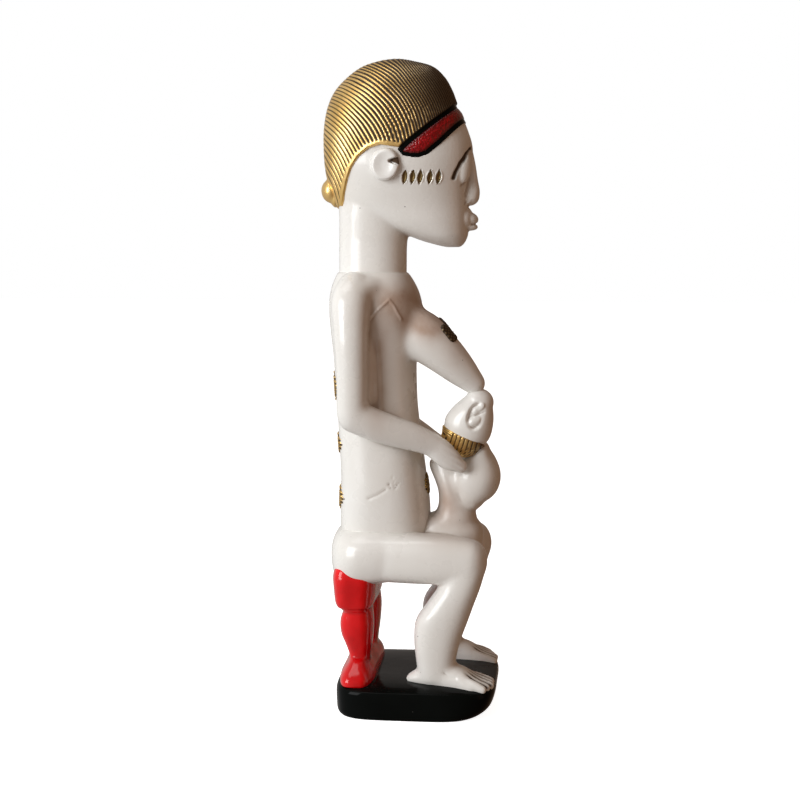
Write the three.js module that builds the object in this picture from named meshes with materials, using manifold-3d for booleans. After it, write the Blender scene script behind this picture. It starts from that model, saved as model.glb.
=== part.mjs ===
// A carved and painted maternity figure: a mother sits on a stool, on a plinth, and nurses a child.
// Millimetres, +Z up. The figure faces +X, so its right side is at -Y. The origin is the middle of
// the plinth's underside. Each carved form is a mesh of its own, parted from its neighbours by GAP.
import * as THREE from "three";
import { mergeVertices } from "three/addons/utils/BufferGeometryUtils.js";
import Module from "manifold-3d";

const wasm = await Module();
wasm.setup();

// Driving dimensions.
const GAP = 0.3; // between two forms that meet
const FLATNESS = 0.1; // how far a coarser face may stray from the form
const BASE_TOP = 17; // height of the plinth
const SEAT_BOTTOM = 59; // underside of the stool's seat
const LEG_SPREAD = 27; // from the middle plane to the middle of a leg
const ARM_SPREAD = 35; // from the middle plane to the middle of an upper arm
const STOOL_LEG_SPREAD = 19; // from the middle plane to the middle of a stool leg
const CHILD_LEG_SPREAD = 7.6; // from the child's middle plane to the middle of its leg
const FAR = 90; // reach of a cutting profile past the figure
const RIGHT = -1; // the side of the figure at -Y
const LEFT = 1;

const FINISHES = {
  white_paint: { color: 0xe9e5dc, roughness: 0.28, metalness: 0 },
  gold_paint: { color: 0xc09a45, roughness: 0.35, metalness: 0.75 },
  red_paint: { color: 0xc00d10, roughness: 0.16, metalness: 0 },
  black_paint: { color: 0x0b0c0c, roughness: 0.15, metalness: 0 },
};
const materials = Object.fromEntries(
  Object.entries(FINISHES).map(([name, look]) => [name, new THREE.MeshStandardMaterial({ name, ...look })]),
);

// ---- Solids and meshes ----

function solidOf(geometry) {
  const bare = geometry.clone();
  bare.deleteAttribute("normal");
  bare.deleteAttribute("uv");
  const merged = mergeVertices(bare, 1e-4);
  return new wasm.Manifold(
    new wasm.Mesh({
      numProp: 3,
      vertProperties: merged.attributes.position.array,
      triVerts: new Uint32Array(merged.index.array),
    }),
  );
}

function geometryOf(solid) {
  const { vertProperties, triVerts } = solid.getMesh();
  const geometry = new THREE.BufferGeometry()
    .setAttribute("position", new THREE.BufferAttribute(new Float32Array(vertProperties), 3))
    .setIndex(new THREE.BufferAttribute(new Uint32Array(triVerts), 1));
  geometry.computeVertexNormals();
  return geometry;
}

// Closes a tube of rings, each a list of points, with a fan of faces at either end.
function skin(rings) {
  const around = rings[0].length;
  const middles = [rings[0], rings.at(-1)].map((ring) =>
    ring.reduce((sum, p) => sum.add(p), new THREE.Vector3()).divideScalar(around),
  );
  const faces = [];
  const first = rings.length * around;
  for (let i = 0; i < around; i++) {
    const next = (i + 1) % around;
    for (let r = 0; r < rings.length - 1; r++) {
      const low = r * around;
      const high = low + around;
      faces.push(low + i, low + next, high + next, low + i, high + next, high + i);
    }
    const last = (rings.length - 1) * around;
    faces.push(first, next, i, first + 1, last + i, last + next);
  }
  const points = [...rings.flat(), ...middles].flatMap((p) => p.toArray());
  return new THREE.BufferGeometry()
    .setAttribute("position", new THREE.Float32BufferAttribute(points, 3))
    .setIndex(faces);
}

// A point on a superellipse: power 2 is an ellipse, and more is squarer.
function onSection(angle, a, b, power) {
  const round = (v) => Math.sign(v) * Math.abs(v) ** (2 / power);
  return [a * round(Math.cos(angle)), b * round(Math.sin(angle))];
}

// Each number of a table of rows, smoothly interpolated at t from 0 to 1.
function between(rows, t) {
  const place = t * (rows.length - 1);
  const i = Math.min(Math.floor(place), rows.length - 2);
  const s = place - i;
  const [p, q, r, v] = [i - 1, i, i + 1, i + 2].map((k) => rows[Math.max(0, Math.min(rows.length - 1, k))]);
  return q.map((_, k) => {
    const [m, n] = [(r[k] - p[k]) / 2, (v[k] - q[k]) / 2];
    return (
      (2 * s ** 3 - 3 * s ** 2 + 1) * q[k] +
      (s ** 3 - 2 * s ** 2 + s) * m +
      (-2 * s ** 3 + 3 * s ** 2) * r[k] +
      (s ** 3 - s ** 2) * n
    );
  });
}

// A form built up in level sections. Each row is [height, back x, front x, half width].
function stack(rows, { y = 0, power = 2.4, around = 20, steps = 1, grow = 0 } = {}) {
  const rings = [];
  const count = (rows.length - 1) * steps;
  for (let j = 0; j <= count; j++) {
    const [z, back, front, half] = between(rows, j / count);
    const end = j === 0 ? -grow : j === count ? grow : 0;
    rings.push(
      Array.from({ length: around }, (_, i) => {
        const [dx, dy] = onSection((i / around) * 2 * Math.PI, (front - back) / 2 + grow, half + grow, power);
        return new THREE.Vector3((front + back) / 2 + dx, y + dy, z + end);
      }),
    );
  }
  return solidOf(skin(rings));
}

// A limb along a curve. Each row is [x, y, z, radius up, radius sideways]. Its ends are domes.
function limb(rows, { power = 2.2, around = 16, steps = 2, dome = 1, side = [0, 1, 0], grow = 0 } = {}) {
  const count = (rows.length - 1) * steps;
  const DOME_STEPS = 2;
  const stations = [];
  const at = (t) => between(rows, t);
  const tangentAt = (t) => {
    const [a, b] = [at(Math.max(0, t - 0.01)), at(Math.min(1, t + 0.01))];
    return new THREE.Vector3(b[0] - a[0], b[1] - a[1], b[2] - a[2]).normalize();
  };
  const domeAt = (t, sign) =>
    Array.from({ length: DOME_STEPS }, (_, k) => {
      const angle = ((k + 1) / (DOME_STEPS + 0.35)) * (Math.PI / 2);
      return { t, reach: sign * Math.sin(angle) * dome, share: Math.cos(angle) };
    });
  stations.push(...domeAt(0, -1).reverse());
  for (let j = 0; j <= count; j++) stations.push({ t: j / count, reach: 0, share: 1 });
  stations.push(...domeAt(1, 1));
  const rings = stations.map(({ t, reach, share }) => {
    const [x, y, z, up, out] = at(t);
    const along = tangentAt(t);
    const across = new THREE.Vector3(...side).addScaledVector(along, -along.dot(new THREE.Vector3(...side))).normalize();
    const rise = new THREE.Vector3().crossVectors(along, across);
    const radius = Math.min(up, out) + grow;
    const middle = new THREE.Vector3(x, y, z).addScaledVector(along, reach * radius);
    return Array.from({ length: around }, (_, i) => {
      const [u, v] = onSection((i / around) * 2 * Math.PI, (out + grow) * share, (up + grow) * share, power);
      return middle.clone().addScaledVector(across, u).addScaledVector(rise, v);
    });
  });
  return solidOf(skin(rings));
}

function ball([x, y, z], [a, b, c], { grow = 0, detail = 16 } = {}) {
  const geometry = new THREE.SphereGeometry(1, detail, Math.round(detail * 0.6))
    .scale(a + grow, b + grow, c + grow)
    .translate(x, y, z);
  return solidOf(geometry);
}

// An outline drawn in by `inset` on every side. Its points run anticlockwise.
function drawnIn(points, inset) {
  const corners = points.map((p) => new THREE.Vector2(...p));
  return corners.map((corner, i) => {
    const into = corner.clone().sub(corners.at(i - 1)).normalize();
    const out = corners[(i + 1) % corners.length].clone().sub(corner).normalize();
    const mitre = inset / (1 + into.dot(out));
    return [corner.x - (into.y + out.y) * mitre, corner.y + (into.x + out.x) * mitre];
  });
}

// A side profile in x and z, cut right through the figure along y.
function sideProfile(points) {
  const shape = new THREE.Shape(points.map(([x, z]) => new THREE.Vector2(x, z)));
  return solidOf(
    new THREE.ExtrudeGeometry(shape, { depth: 2 * FAR, bevelEnabled: false })
      .rotateX(Math.PI / 2)
      .translate(0, FAR, 0),
  );
}

// A lozenge with a round waist, facing along z, that marks out a patch of scars.
function lozenge(length, width, depth) {
  const outline = new THREE.Shape();
  const waist = 0.42;
  outline.moveTo(length / 2, 0);
  outline.quadraticCurveTo(length * waist, width / 2, 0, width / 2);
  outline.quadraticCurveTo(-length * waist, width / 2, -length / 2, 0);
  outline.quadraticCurveTo(-length * waist, -width / 2, 0, -width / 2);
  outline.quadraticCurveTo(length * waist, -width / 2, length / 2, 0);
  return new THREE.ExtrudeGeometry(outline, { depth, bevelEnabled: false, curveSegments: 5 }).translate(0, 0, -depth / 2);
}

// `form` less its neighbours, each of which is a function of how far it is grown.
const less = (form, ...neighbours) => neighbours.reduce((left, shape) => left.subtract(shape(GAP)), form);

// Only the largest body: a cut can leave crumbs.
const largest = (solid) => solid.decompose().reduce((a, b) => (a.volume() > b.volume() ? a : b));

// ---- Plinth and stool ----

const basePlinth = () =>
  stack(
    [
      [0, -42.6, 36, 45.8],
      [2.4, -45.4, 42.8, 47.2],
      [6, -45.8, 46.6, 47.3],
      [12, -46, 48.8, 47.2],
      [15.4, -45.6, 48.4, 46.8],
      [BASE_TOP, -44, 46.6, 45],
      [BASE_TOP + 1.6, -37, 38, 38],
      [BASE_TOP + 2.2, -26, 26, 26],
    ],
    { power: 5, around: 32 },
  );

const SEAT_ROWS = [
  [SEAT_BOTTOM, -40, -27, 29],
  [61.2, -44, -25, 32.4],
  [64, -46.6, -23.8, 34],
  [72, -47.6, -23, 34.6],
  [80, -48, -22.6, 34.6],
  [86, -47, -23.6, 33],
];
const seat = (grow = 0) => stack(SEAT_ROWS, { power: 4.4, grow, around: 24 });

// A stool leg swells below the seat and narrows at the ankle.
const stoolLeg = (side, grow = 0) =>
  stack(
    [
      [29, -38, -27, 8.6],
      [33, -38.4, -26.8, 8.8],
      [39, -40.4, -26.2, 10.4],
      [46, -43, -25.8, 11.8],
      [54, -43.4, -25.6, 12],
      [62, -41, -26.2, 11.4],
    ],
    { y: side * STOOL_LEG_SPREAD, power: 3, around: 16, grow },
  );

// Both legs stand on one rail, which flares as it meets the plinth.
const stoolFoot = (grow = 0) =>
  stack(
    [
      [15, -43.8, -22.4, 42],
      [21, -43.6, -22.6, 41.4],
      [24.6, -42, -23.6, 38.6],
      [28, -39.6, -25.6, 34.6],
      [31.4, -37.8, -27.4, 30.6],
    ],
    { power: 4, around: 24, grow },
  );

// ---- The mother's trunk and legs ----

const hips = (grow = 0) =>
  stack(
    [
      [77, -46, -10, 30],
      [80, -49, -5, 34],
      [87, -50.4, -1, 37],
      [94, -50.6, 1, 37.4],
      [100, -49.6, 2, 36],
      [104.5, -47.4, 2, 32],
      [107.5, -44, 1, 27],
    ],
    { power: 2.9, around: 24, grow },
  );

const torso = (grow = 0) =>
  stack(
    [
      [100, -45.4, 7.2, 26.5],
      [111, -45.8, 7.8, 27.6],
      [122, -45.7, 7.4, 28.2],
      [134, -45.4, 5.8, 28],
      [147, -45.7, 4, 27],
      [162, -46.6, 2.2, 25.8],
      [178, -47.6, 0.2, 25.2],
      [193, -48.6, -0.6, 25.8],
      [208, -49.4, -0.6, 27.5],
      [222, -50.9, 1, 29.5],
      [234, -51.9, 2.8, 31],
      [243, -51.7, 1.7, 30.2],
      [250, -50.4, -0.8, 26.8],
      [255, -48.6, -3.6, 21.8],
      [259, -46.9, -6, 17.5],
    ],
    { power: 2.6, around: 24, grow },
  );

const thigh = (side, grow = 0) =>
  limb(
    [
      [-30, side * 19, 91.5, 14.2, 15.5],
      [-8, side * 23, 92, 14.6, 14.8],
      [14, side * 26, 92, 14.4, 13.4],
      [33, side * LEG_SPREAD, 91, 13.2, 12.4],
    ],
    { power: 2.9, dome: 0.86, steps: 1, grow },
  );

const shin = (side, grow = 0) =>
  stack(
    [
      [21, 3.2, 24.6, 9.6],
      [31, 2.2, 25.4, 9.8],
      [43, 0.8, 28, 11],
      [56, 1.8, 32.6, 12.2],
      [66, 8.4, 36, 12.4],
      [76, 15, 39.6, 12.4],
      [86, 19.5, 43, 12],
    ],
    { y: side * LEG_SPREAD, power: 2.5, around: 18, grow },
  );

const TOES = 5;
const TOE_PITCH = 4.6;
const SPLAY = 5; // degrees each foot turns out
const SOLE_DIP = 3; // degrees the toes dip below the heel

// The foot is flat underneath, splayed a little, and ends in five long toes.
const foot = (side, grow = 0) => {
  const heel = limb(
    [
      [-2.6, 0, 18.4, 2.6, 5],
      [3, 0, 19.8, 5.4, 7],
      [14, 0, 21.6, 9, 8.4],
      [26, 0, 21, 8.8, 10],
      [36, 0, 19.2, 6.2, 11.6],
    ],
    { power: 2.4, grow, steps: 1, around: 14 },
  );
  const toes = Array.from({ length: TOES }, (_, i) => {
    const out = (i - (TOES - 1) / 2) * TOE_PITCH;
    const tip = 45.4 - 0.25 * Math.abs(out) - 0.12 * out;
    return limb(
      [
        [31, side * out * 0.82, 20.8, 4, 2.5],
        [38, side * out * 0.95, 20, 3.4, 2.4],
        [tip, side * out, 19, 2.6, 2.3],
      ],
      { around: 8, steps: 1, grow },
    );
  });
  const pad = ball([33, 0, 19], [8, 10.6, 4], { grow, detail: 12 });
  return toes
    .reduce((sum, toe) => sum.add(toe), heel.add(pad))
    .rotate([0, SOLE_DIP, side * SPLAY])
    .translate([0, side * (LEG_SPREAD - 1), 1.6])
    .subtract(basePlinth().translate([0, 0, GAP - grow]));
};

// ---- The mother's head ----

const NECK_ROWS = [
  [248, -46.6, -6.4, 17.4],
  [262, -46.4, -6.4, 17.2],
  [277, -46.2, -6, 17.4],
  [290, -46.2, -4, 18.4],
  [300, -46.6, 2, 19.5],
];
const neck = (grow = 0) => stack(NECK_ROWS, { power: 2.3, grow });

const skull = (grow = 0) =>
  stack(
    [
      [272.9, 17, 24.8, 4],
      [274.3, 11, 26.8, 8.6],
      [277, 1.4, 28.6, 13],
      [281, -9, 29.8, 16.8],
      [288, -27, 30, 20],
      [298, -45.5, 29.8, 22],
      [310, -50.4, 30.2, 24.8],
      [320, -52.8, 31.4, 26.6],
      [328, -53, 32.2, 27],
      [335, -52.8, 31.2, 27.2],
      [346, -52.4, 27, 26.8],
      [355, -50.4, 21.4, 25],
      [363.5, -45.4, 17.2, 21.4],
      [371, -37, 10.6, 15.6],
      [376.4, -27, -1, 9.4],
      [379, -18, -9, 3.4],
    ],
    { power: 2.25, around: 26, grow },
  );

const nose = () =>
  limb(
    [
      [29, 0, 329, 3, 2.4],
      [29.8, 0, 320, 4, 2.8],
      [30.4, 0, 310, 4.9, 4],
      [30.6, 0, 302.8, 5.6, 6],
    ],
    { around: 12, steps: 1 },
  );

const lips = () =>
  [
    [289.4, 3.4, 6.4],
    [284.8, 2.2, 5.6],
  ]
    .map(([z, high, wide]) => ball([30.6, 0, z], [4.9, wide, high], { detail: 12 }))
    .reduce((a, b) => a.add(b));

const eye = (side) =>
  ball([0, 0, 0], [4.6, 5.2, 9.4], { detail: 12 })
    .rotate([0, 0, side * 34])
    .rotate([0, 14, 0])
    .translate([25.4, side * 12.6, 320.4]);

const head = (grow = 0) => skull(grow).add(neck(grow));
const muzzle = () => ball([26.6, 0, 289], [5.8, 9.4, 7.4], { detail: 12 });

// Five upright cuts, shaped like leaves, cross each temple.
const TEMPLE_MARKS = 5;
const TEMPLE_PITCH = 4.7;
const templeMarks = (side) =>
  Array.from({ length: TEMPLE_MARKS }, (_, i) =>
    ball([0, 0, 0], [1.7, 2.6, 3.9], { detail: 8 })
      .rotate([0, 8, 0])
      .translate([-5 + i * TEMPLE_PITCH, side * (27.2 - 0.8 * i), 313.6]),
  ).reduce((sum, cut) => sum.add(cut));

const headDetailed = () =>
  [nose(), muzzle(), lips(), eye(RIGHT), eye(LEFT)]
    .reduce((sum, form) => sum.add(form), skull())
    .subtract(templeMarks(RIGHT))
    .subtract(templeMarks(LEFT));

// The ear is a thick disc with a scoop that opens towards the face.
const ear = (side) => {
  const disc = ball([0, 0, 0], [8.4, 4.6, 9.2], { detail: 14 });
  const scoop = ball([2.4, side * 4.6, 0.4], [5.6, 4, 6.2], { detail: 12 });
  return disc
    .subtract(scoop)
    .rotate([0, 0, side * 8])
    .translate([-16.2, side * 27.2, 320.6]);
};

const hairOuter = (grow = 0) =>
  stack(
    [
      [292, -46, 24, 18],
      [298, -49, 30, 21.6],
      [308, -52.2, 32.6, 25],
      [320, -54.6, 33, 27.6],
      [333, -55.2, 34, 29.2],
      [344, -54.6, 29.8, 29.2],
      [354, -52.6, 24, 27.6],
      [363, -48.4, 20.4, 24.2],
      [371, -41, 15.6, 19],
      [377, -32.6, 8.6, 12.6],
      [380.2, -23, -2, 6.6],
      [381.4, -16, -9, 2.4],
    ],
    { power: 2.25, around: 28, grow },
  );

// The hair's lower edge runs over the headband, round the ear and down to the nape.
const HAIR_EDGE = [
  [42, 373.6],
  [24.7, 356.2],
  [18.5, 350.6],
  [8.6, 342.6],
  [-1.4, 334.6],
  [-7.6, 329.4],
  [-18.8, 331],
  [-25.5, 329],
  [-31.4, 324.4],
  [-35.6, 318.4],
  [-38.6, 311],
  [-40.6, 304],
  [-42.4, 296],
  [-FAR, 294],
  [-FAR, 400],
  [42, 400],
];

// Outline of the headband from the side: a long leaf with a rounded tip at the ear. The red field
// lies inside its black border.
const BAND_EDGE = [
  [-8.2, 327],
  [-6.3, 324.8],
  [-1.4, 323.8],
  [3.6, 323.6],
  [8.6, 325.4],
  [16, 331.6],
  [24.7, 340.4],
  [42, 357.6],
  [42, 373],
  [24.7, 355.6],
  [18.5, 350],
  [8.6, 342],
  [-1.4, 334],
  [-5.4, 330.6],
];
const BORDER_WIDTH = 1.7;

const overHead = (thickness, profile) => largest(hairOuter(thickness).intersect(profile).subtract(head(GAP)));

const hairKnot = (grow = 0) => ball([-48.8, 0, 306.1], [8.4, 10, 8.8], { grow });

// ---- Arms and breasts ----

const upperArm = (side, grow = 0) =>
  limb(
    [
      [-35, side * 22, 250, 9.4, 10],
      [-35.6, side * 30.5, 241.5, 11.4, 10.8],
      [-35, side * ARM_SPREAD, 225, 10, 9.2],
      [-34.4, side * (ARM_SPREAD + 0.6), 200, 9.2, 8.6],
      [-34.4, side * ARM_SPREAD, 178, 9.4, 8.6],
    ],
    { grow, steps: 1 },
  );

const FOREARMS = {
  [RIGHT]: [
    [-33, -34.5, 175, 10, 8.6],
    [-18, -31.5, 170, 9.4, 8.4],
    [-2, -27, 164.6, 8.4, 7.6],
    [11, -23.4, 159.4, 7, 6.4],
  ],
  [LEFT]: [
    [-33, 34.5, 174, 10, 8.6],
    [-17, 31.5, 166.4, 9.2, 8.4],
    [-2, 27, 158.6, 8, 7.4],
    [9, 23.4, 152.4, 6.8, 6.4],
  ],
};
const forearm = (side, grow = 0) => limb(FOREARMS[side], { grow, steps: 1 });

const HANDS = {
  [RIGHT]: [
    [10, -23.8, 160, 6.8, 5.6],
    [17, -22.8, 155, 7.6, 5],
    [24, -20.8, 149.4, 6.8, 4.4],
    [30.6, -18, 145.2, 4.4, 4],
  ],
  [LEFT]: [
    [9, 23.6, 152.6, 6.6, 5.6],
    [16, 21.8, 147.6, 7.4, 5],
    [23, 19, 141.6, 6.8, 4.6],
    [29, 16, 135, 5.4, 4],
  ],
};
const hand = (side, grow = 0) => limb(HANDS[side], { grow, around: 14 });

const BREASTS = {
  [RIGHT]: [
    [-6, -13, 226.4, 15, 12.5],
    [7, -13, 219, 14.2, 12],
    [17, -12, 210.8, 12.6, 11],
    [26.6, -10, 201.4, 10.2, 9.4],
    [34.2, -8.4, 193.6, 7.4, 7.2],
  ],
  [LEFT]: [
    [-6, 13, 226, 14, 12],
    [6, 14, 219, 12.6, 11],
    [16, 15, 211.6, 8.8, 8.4],
    [22, 15.6, 207.4, 4.6, 4.8],
  ],
};
const breast = (side, grow = 0) => limb(BREASTS[side], { grow, around: 18, steps: 1 });

// ---- The child ----

const childHead = (grow = 0) =>
  limb(
    [
      [26.4, -7.6, 160, 11.4, 10],
      [30.2, -7.8, 167, 14.4, 12],
      [34.2, -8, 175.4, 12.6, 11.4],
      [37.4, -8.2, 183, 8.6, 8.8],
    ],
    { grow, around: 16, steps: 1, dome: 0.9 },
  );

// The child's hair covers the back of its head, below this line seen from the side.
const CHILD_HAIR_EDGE = [
  [8, 171],
  [17.2, 168.9],
  [25.6, 164.8],
  [34, 161.2],
  [40.5, 158.9],
  [40.9, 155.7],
  [38, 140],
  [8, 140],
];
const childHair = () =>
  largest(childHead(1.3).intersect(sideProfile(CHILD_HAIR_EDGE)).subtract(childHead(GAP)));

const childEar = () =>
  ball([0, 0, 0], [5.4, 2.6, 8.2], { detail: 12 })
    .subtract(ball([1.4, -2.4, 0.4], [3.4, 2.2, 5.2], { detail: 12 }))
    .rotate([0, 9, 0])
    .translate([36, -18.8, 175.4]);

const childBody = (grow = 0) =>
  limb(
    [
      [38.6, -4, 154, 5, 8],
      [37.6, -2.6, 147.4, 10.6, 12],
      [36.2, -1.6, 140, 14.2, 14.8],
      [34.2, -1.2, 132.6, 14, 14.8],
      [31.6, -0.6, 126.4, 10, 13],
    ],
    { grow, around: 16, steps: 1, dome: 0.9 },
  );

// The child's folded legs reach from under its body, back and down to the lap.
const childLeg = (side, grow = 0) =>
  stack(
    [
      [112, 8, 36, 7.4],
      [116, 11.4, 35, 7],
      [121, 13, 32, 6.8],
      [128, 12.8, 32, 6.6],
      [135, 10.6, 33, 6.4],
      [142, 7.6, 33, 5.6],
    ],
    { y: side * CHILD_LEG_SPREAD, power: 2.6, around: 14, grow },
  );

// The lap is a low saddle of wood between the thighs, which carries the child.
const lap = (grow = 0) =>
  stack(
    [
      [90, -6, 38, 15],
      [100, -6, 40, 16],
      [107, -2, 39.4, 15.6],
      [111.6, 3, 35, 14],
      [114.4, 8, 31, 11.6],
    ],
    { power: 2.6, around: 16, grow },
  );

// ---- Patches of raised scars ----

// A pad that hugs `form` where a lozenge, turned and placed, passes through it.
function pad(form, height, { length, width, turn = [0, 0, 0], at }) {
  const die = solidOf(lozenge(length, width, 14)).rotate(turn).translate(at);
  return largest(form(height).intersect(die).subtract(form(GAP)));
}
const PAD_HEIGHT = 1.2;
const onBack = (z, length, width) =>
  pad(torso, PAD_HEIGHT, { length, width, turn: [0, -90, 0], at: [-47, 0, z] });

// ---- The figure ----

const figure = new THREE.Group();

function add(name, finish, solid) {
  const mesh = new THREE.Mesh(geometryOf(largest(solid.simplify(FLATNESS))), materials[finish]);
  mesh.name = name;
  figure.add(mesh);
}

add("base_plinth", "black_paint", basePlinth());
add("stool_foot", "red_paint", stoolFoot().subtract(basePlinth().translate([0, 0, GAP])));
add("stool_seat", "red_paint", less(seat(), hips, (g) => thigh(RIGHT, g), (g) => thigh(LEFT, g)));

add("hips", "white_paint", hips());
add("torso", "white_paint", less(torso(), hips));
add("lap", "white_paint", less(lap(), hips, torso, (g) => thigh(RIGHT, g), (g) => thigh(LEFT, g)));
add("head", "white_paint", headDetailed());
add("neck", "white_paint", less(neck(), torso, skull));
add("hair", "gold_paint", less(overHead(0, sideProfile(HAIR_EDGE)), hairKnot));
add("hair_knot", "gold_paint", less(hairKnot(), head));
add("headband", "red_paint", overHead(0, sideProfile(drawnIn(BAND_EDGE, BORDER_WIDTH + GAP))));
add("headband_border", "black_paint",
  overHead(-0.2, sideProfile(BAND_EDGE)).subtract(sideProfile(drawnIn(BAND_EDGE, BORDER_WIDTH))),
);

for (const [side, name] of [
  [RIGHT, "right"],
  [LEFT, "left"],
]) {
  const own = (form) => (grow) => form(side, grow);
  add(`stool_leg_${name}`, "red_paint", less(stoolLeg(side), seat, stoolFoot));
  add(`${name}_thigh`, "white_paint", less(thigh(side), hips, torso));
  add(`${name}_shin`, "white_paint", less(shin(side), own(thigh), own(foot)));
  add(`${name}_foot`, "white_paint", foot(side));
  add(`${name}_upper_arm`, "white_paint", less(upperArm(side), torso));
  add(`${name}_forearm`, "white_paint", less(forearm(side), torso, own(upperArm)));
  add(`${name}_breast`, "white_paint", less(breast(side), torso));
  add(`${name}_ear`, "white_paint", less(ear(side), head).subtract(hairOuter(GAP).intersect(sideProfile(HAIR_EDGE))));
  add(`${name}_breast_scars`, "gold_paint",
    pad(own(breast), PAD_HEIGHT, {
      length: 12,
      width: 9,
      turn: [side * -24, 40, 0],
      at: side === RIGHT ? [19, -14, 224.6] : [12, 15.5, 223.4],
    }),
  );
}

add("right_hand", "white_paint", less(hand(RIGHT), (g) => forearm(RIGHT, g), (g) => childHead(g + 1.3), childBody));
add("left_hand", "white_paint", less(hand(LEFT), (g) => forearm(LEFT, g), childBody, (g) => childLeg(LEFT, g)));

const rightBreast = (g) => breast(RIGHT, g);
add("child_head", "white_paint", less(childHead(), rightBreast));
add("child_hair", "gold_paint", childHair());
add("child_ear", "white_paint", less(childEar(), childHead));
add("child_body", "white_paint", less(childBody(), lap, (g) => childHead(g + 1.3), rightBreast));
add("child_leg_near", "white_paint", less(childLeg(RIGHT), childBody, lap, torso));
add("child_leg_far", "white_paint", less(childLeg(LEFT), childBody, lap, torso));

add("back_scars_upper", "gold_paint", onBack(191, 17, 34));
add("back_scars_middle", "gold_paint", onBack(157, 13, 31));
add("back_scars_lower", "gold_paint", onBack(125, 15, 34));
add("navel_scars", "gold_paint", pad(torso, PAD_HEIGHT, { length: 13, width: 18, turn: [0, 90, 0], at: [6, 0, 133] }));

export default figure;
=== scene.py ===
# %% [markdown]
# # A maternity figure in painted wood
# A mother sits on a red stool, on a black plinth, and nurses a child that she holds in her hands.
# The real one is carved from one block with adzes, gouges and a knife, then painted with enamel.
# So each piece here starts as rough forms, is given one skin, and is then rounded and cut, the way
# a carver works. All sizes are in millimetres until a mesh is made, because a carver's marks are.

# %% Load the frame
import math

import bpy
import numpy as np
from mathutils import Euler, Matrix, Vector


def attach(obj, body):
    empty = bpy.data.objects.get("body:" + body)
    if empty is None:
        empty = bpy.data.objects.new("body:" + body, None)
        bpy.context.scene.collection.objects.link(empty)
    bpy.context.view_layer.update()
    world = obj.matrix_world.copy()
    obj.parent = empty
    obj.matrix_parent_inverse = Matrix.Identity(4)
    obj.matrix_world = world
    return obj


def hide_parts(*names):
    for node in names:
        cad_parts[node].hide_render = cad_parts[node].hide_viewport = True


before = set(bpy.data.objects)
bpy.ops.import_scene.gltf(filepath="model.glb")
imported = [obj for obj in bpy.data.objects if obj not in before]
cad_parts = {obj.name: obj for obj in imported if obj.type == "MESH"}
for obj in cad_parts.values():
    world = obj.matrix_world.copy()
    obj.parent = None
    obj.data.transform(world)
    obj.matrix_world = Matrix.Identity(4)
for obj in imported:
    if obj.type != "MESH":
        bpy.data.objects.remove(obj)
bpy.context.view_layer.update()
MM = 0.001
RIGHT, LEFT = -1, 1
SIDES = {RIGHT: "right", LEFT: "left"}

# %% [markdown]
# ## Rough forms
# A form is a list of points and a list of faces. Most of a carved figure is made of two kinds:
# a stack of level sections, such as the trunk, and a limb that follows a curve, such as an arm.
# Both are tables of a few rows, with a smooth curve through the rows. A superellipse gives each
# section its squareness, because a carved block keeps something of its flat sides.


# %% Curves and sections
def spline(rows, t):
    """Smooth curve through the rows of a table, read at each t from 0 to 1."""
    rows = np.asarray(rows, float)
    place = np.clip(t, 0, 1) * (len(rows) - 1)
    i = np.minimum(place.astype(int), len(rows) - 2)
    s = (place - i)[:, None]
    before, here = rows[np.maximum(i - 1, 0)], rows[i]
    there, after = rows[i + 1], rows[np.minimum(i + 2, len(rows) - 1)]
    leave, arrive = (there - before) / 2, (after - here) / 2
    return (
        (2 * s**3 - 3 * s**2 + 1) * here
        + (s**3 - 2 * s**2 + s) * leave
        + (3 * s**2 - 2 * s**3) * there
        + (s**3 - s**2) * arrive
    )


def section(count, a, b, power):
    """Points round a superellipse; power 2 is an ellipse, and more is squarer."""
    angle = np.arange(count) / count * 2 * np.pi
    c, s = np.cos(angle), np.sin(angle)
    return a * np.sign(c) * np.abs(c) ** (2 / power), b * np.sign(s) * np.abs(s) ** (2 / power)


def skin(rings):
    """Closes a tube of rings, of the same count of points, with a fan at either end."""
    rings = np.asarray(rings)
    levels, around = rings.shape[:2]
    points = np.concatenate([rings.reshape(-1, 3), [rings[0].mean(0)], [rings[-1].mean(0)]])
    first, last = levels * around, levels * around + 1
    faces = []
    for level in range(levels - 1):
        low, high = level * around, (level + 1) * around
        faces += [(low + i, low + (i + 1) % around, high + (i + 1) % around, high + i) for i in range(around)]
    top = (levels - 1) * around
    faces += [(first, (i + 1) % around, i) for i in range(around)]
    faces += [(last, top + i, top + (i + 1) % around) for i in range(around)]
    return points, faces


# %% Stacks, limbs and balls
DOME_RINGS = 6


def stack(rows, y=0.0, power=2.4, around=72, steps=8):
    """Level sections. Each row is height, back, front and half width."""
    table = spline(rows, np.linspace(0, 1, (len(rows) - 1) * steps + 1))
    rings = []
    for z, back, front, half in table:
        u, v = section(around, (front - back) / 2, half, power)
        rings.append(np.stack([(front + back) / 2 + u, y + v, np.full(around, z)], 1))
    return skin(rings)


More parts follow.
